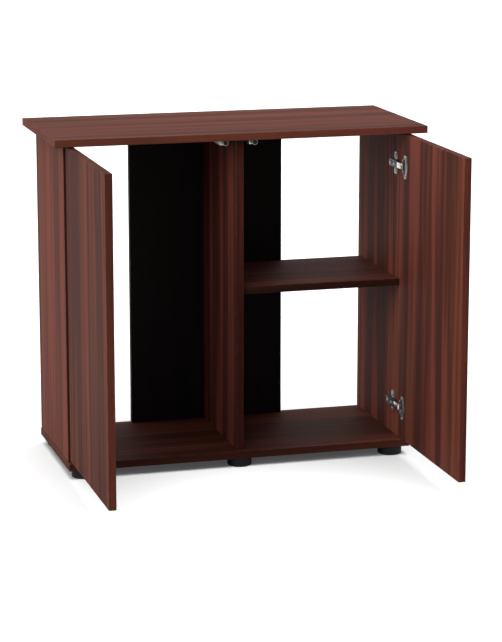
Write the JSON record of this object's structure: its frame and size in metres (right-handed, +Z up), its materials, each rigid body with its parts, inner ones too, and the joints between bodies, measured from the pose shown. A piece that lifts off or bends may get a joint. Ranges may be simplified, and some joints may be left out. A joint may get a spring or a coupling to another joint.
{
  "type": "aquarium cabinet",
  "caption": "Aquarium cabinet with an overhanging top, swing doors on concealed cup hinges, a middle partition, a side shelf, push latches and low round feet.",
  "frame": {"origin": "on the floor, under the middle of the box round the cabinet with both doors open at a right angle", "axes": "+X to the cabinet's right as seen from the front, +Y to the back, +Z up"},
  "size_m": [0.81, 0.7, 0.73],
  "materials": {
    "laminate": "satin dark red-brown laminate on board",
    "black_board": "matt black laminate on board",
    "foot_plastic": "matt black moulded plastic",
    "nickel": "nickel-plated pressed steel",
    "steel": "zinc-plated steel",
    "latch_grey": "silver-grey moulded plastic",
    "dowel_wood": "bare beech"
  },
  "bodies": {
    "cabinet": {"arm_screws": "steel", "back_left_foot": "foot_plastic", "back_middle_foot": "foot_plastic", "back_panel": "black_board", "back_right_foot": "foot_plastic", "bottom_dowels": "dowel_wood", "bottom_panel": "laminate", "foot_screws": "steel", "front_left_foot": "foot_plastic", "front_middle_foot": "foot_plastic", "front_right_foot": "foot_plastic", "latch_screws": "steel", "left_latch_housing": "latch_grey", "left_latch_spring": "steel", "left_lower_hinge_arm": "nickel", "left_lower_hinge_plate": "nickel", "left_side_panel": "laminate", "left_upper_hinge_arm": "nickel", "left_upper_hinge_plate": "nickel", "middle_partition": "laminate", "plate_screws": "steel", "rear_dowels": "dowel_wood", "right_latch_housing": "latch_grey", "right_latch_spring": "steel", "right_lower_hinge_arm": "nickel", "right_lower_hinge_plate": "nickel", "right_side_panel": "laminate", "right_upper_hinge_arm": "nickel", "right_upper_hinge_plate": "nickel", "shelf": "laminate", "shelf_pins": "steel", "top_dowels": "dowel_wood", "top_panel": "laminate"},
    "door_left": {"left_door": "laminate", "left_hinge_pins": "steel", "left_cup_screws": "steel", "left_upper_hinge_cup": "nickel", "left_lower_hinge_cup": "nickel"},
    "door_right": {"right_door": "laminate", "right_hinge_pins": "steel", "right_cup_screws": "steel", "right_upper_hinge_cup": "nickel", "right_lower_hinge_cup": "nickel"},
    "plunger_left": {"left_latch_plunger": "latch_grey"},
    "plunger_right": {"right_latch_plunger": "latch_grey"}
  },
  "joints": [
    {"name": "left_door_swing", "type": "hinge", "parent": "cabinet", "child": "door_left", "pos_m": [-0.369, 0.0175, 0.3745], "axis": [0, 0, 1], "range_deg": [-5, 90]},
    {"name": "right_door_swing", "type": "hinge", "parent": "cabinet", "child": "door_right", "pos_m": [0.369, 0.0175, 0.3745], "axis": [0, 0, -1], "range_deg": [-5, 90]},
    {"name": "left_latch_push", "type": "slide", "parent": "cabinet", "child": "plunger_left", "axis": [0, 1, 0], "range_m": [0, 0.003], "stiffness_N_per_m": 600, "springref_m": -0.006, "deforming": ["left_latch_spring"]},
    {"name": "right_latch_push", "type": "slide", "parent": "cabinet", "child": "plunger_right", "axis": [0, 1, 0], "range_m": [0, 0.003], "stiffness_N_per_m": 600, "springref_m": -0.006, "deforming": ["right_latch_spring"]}
  ]
}
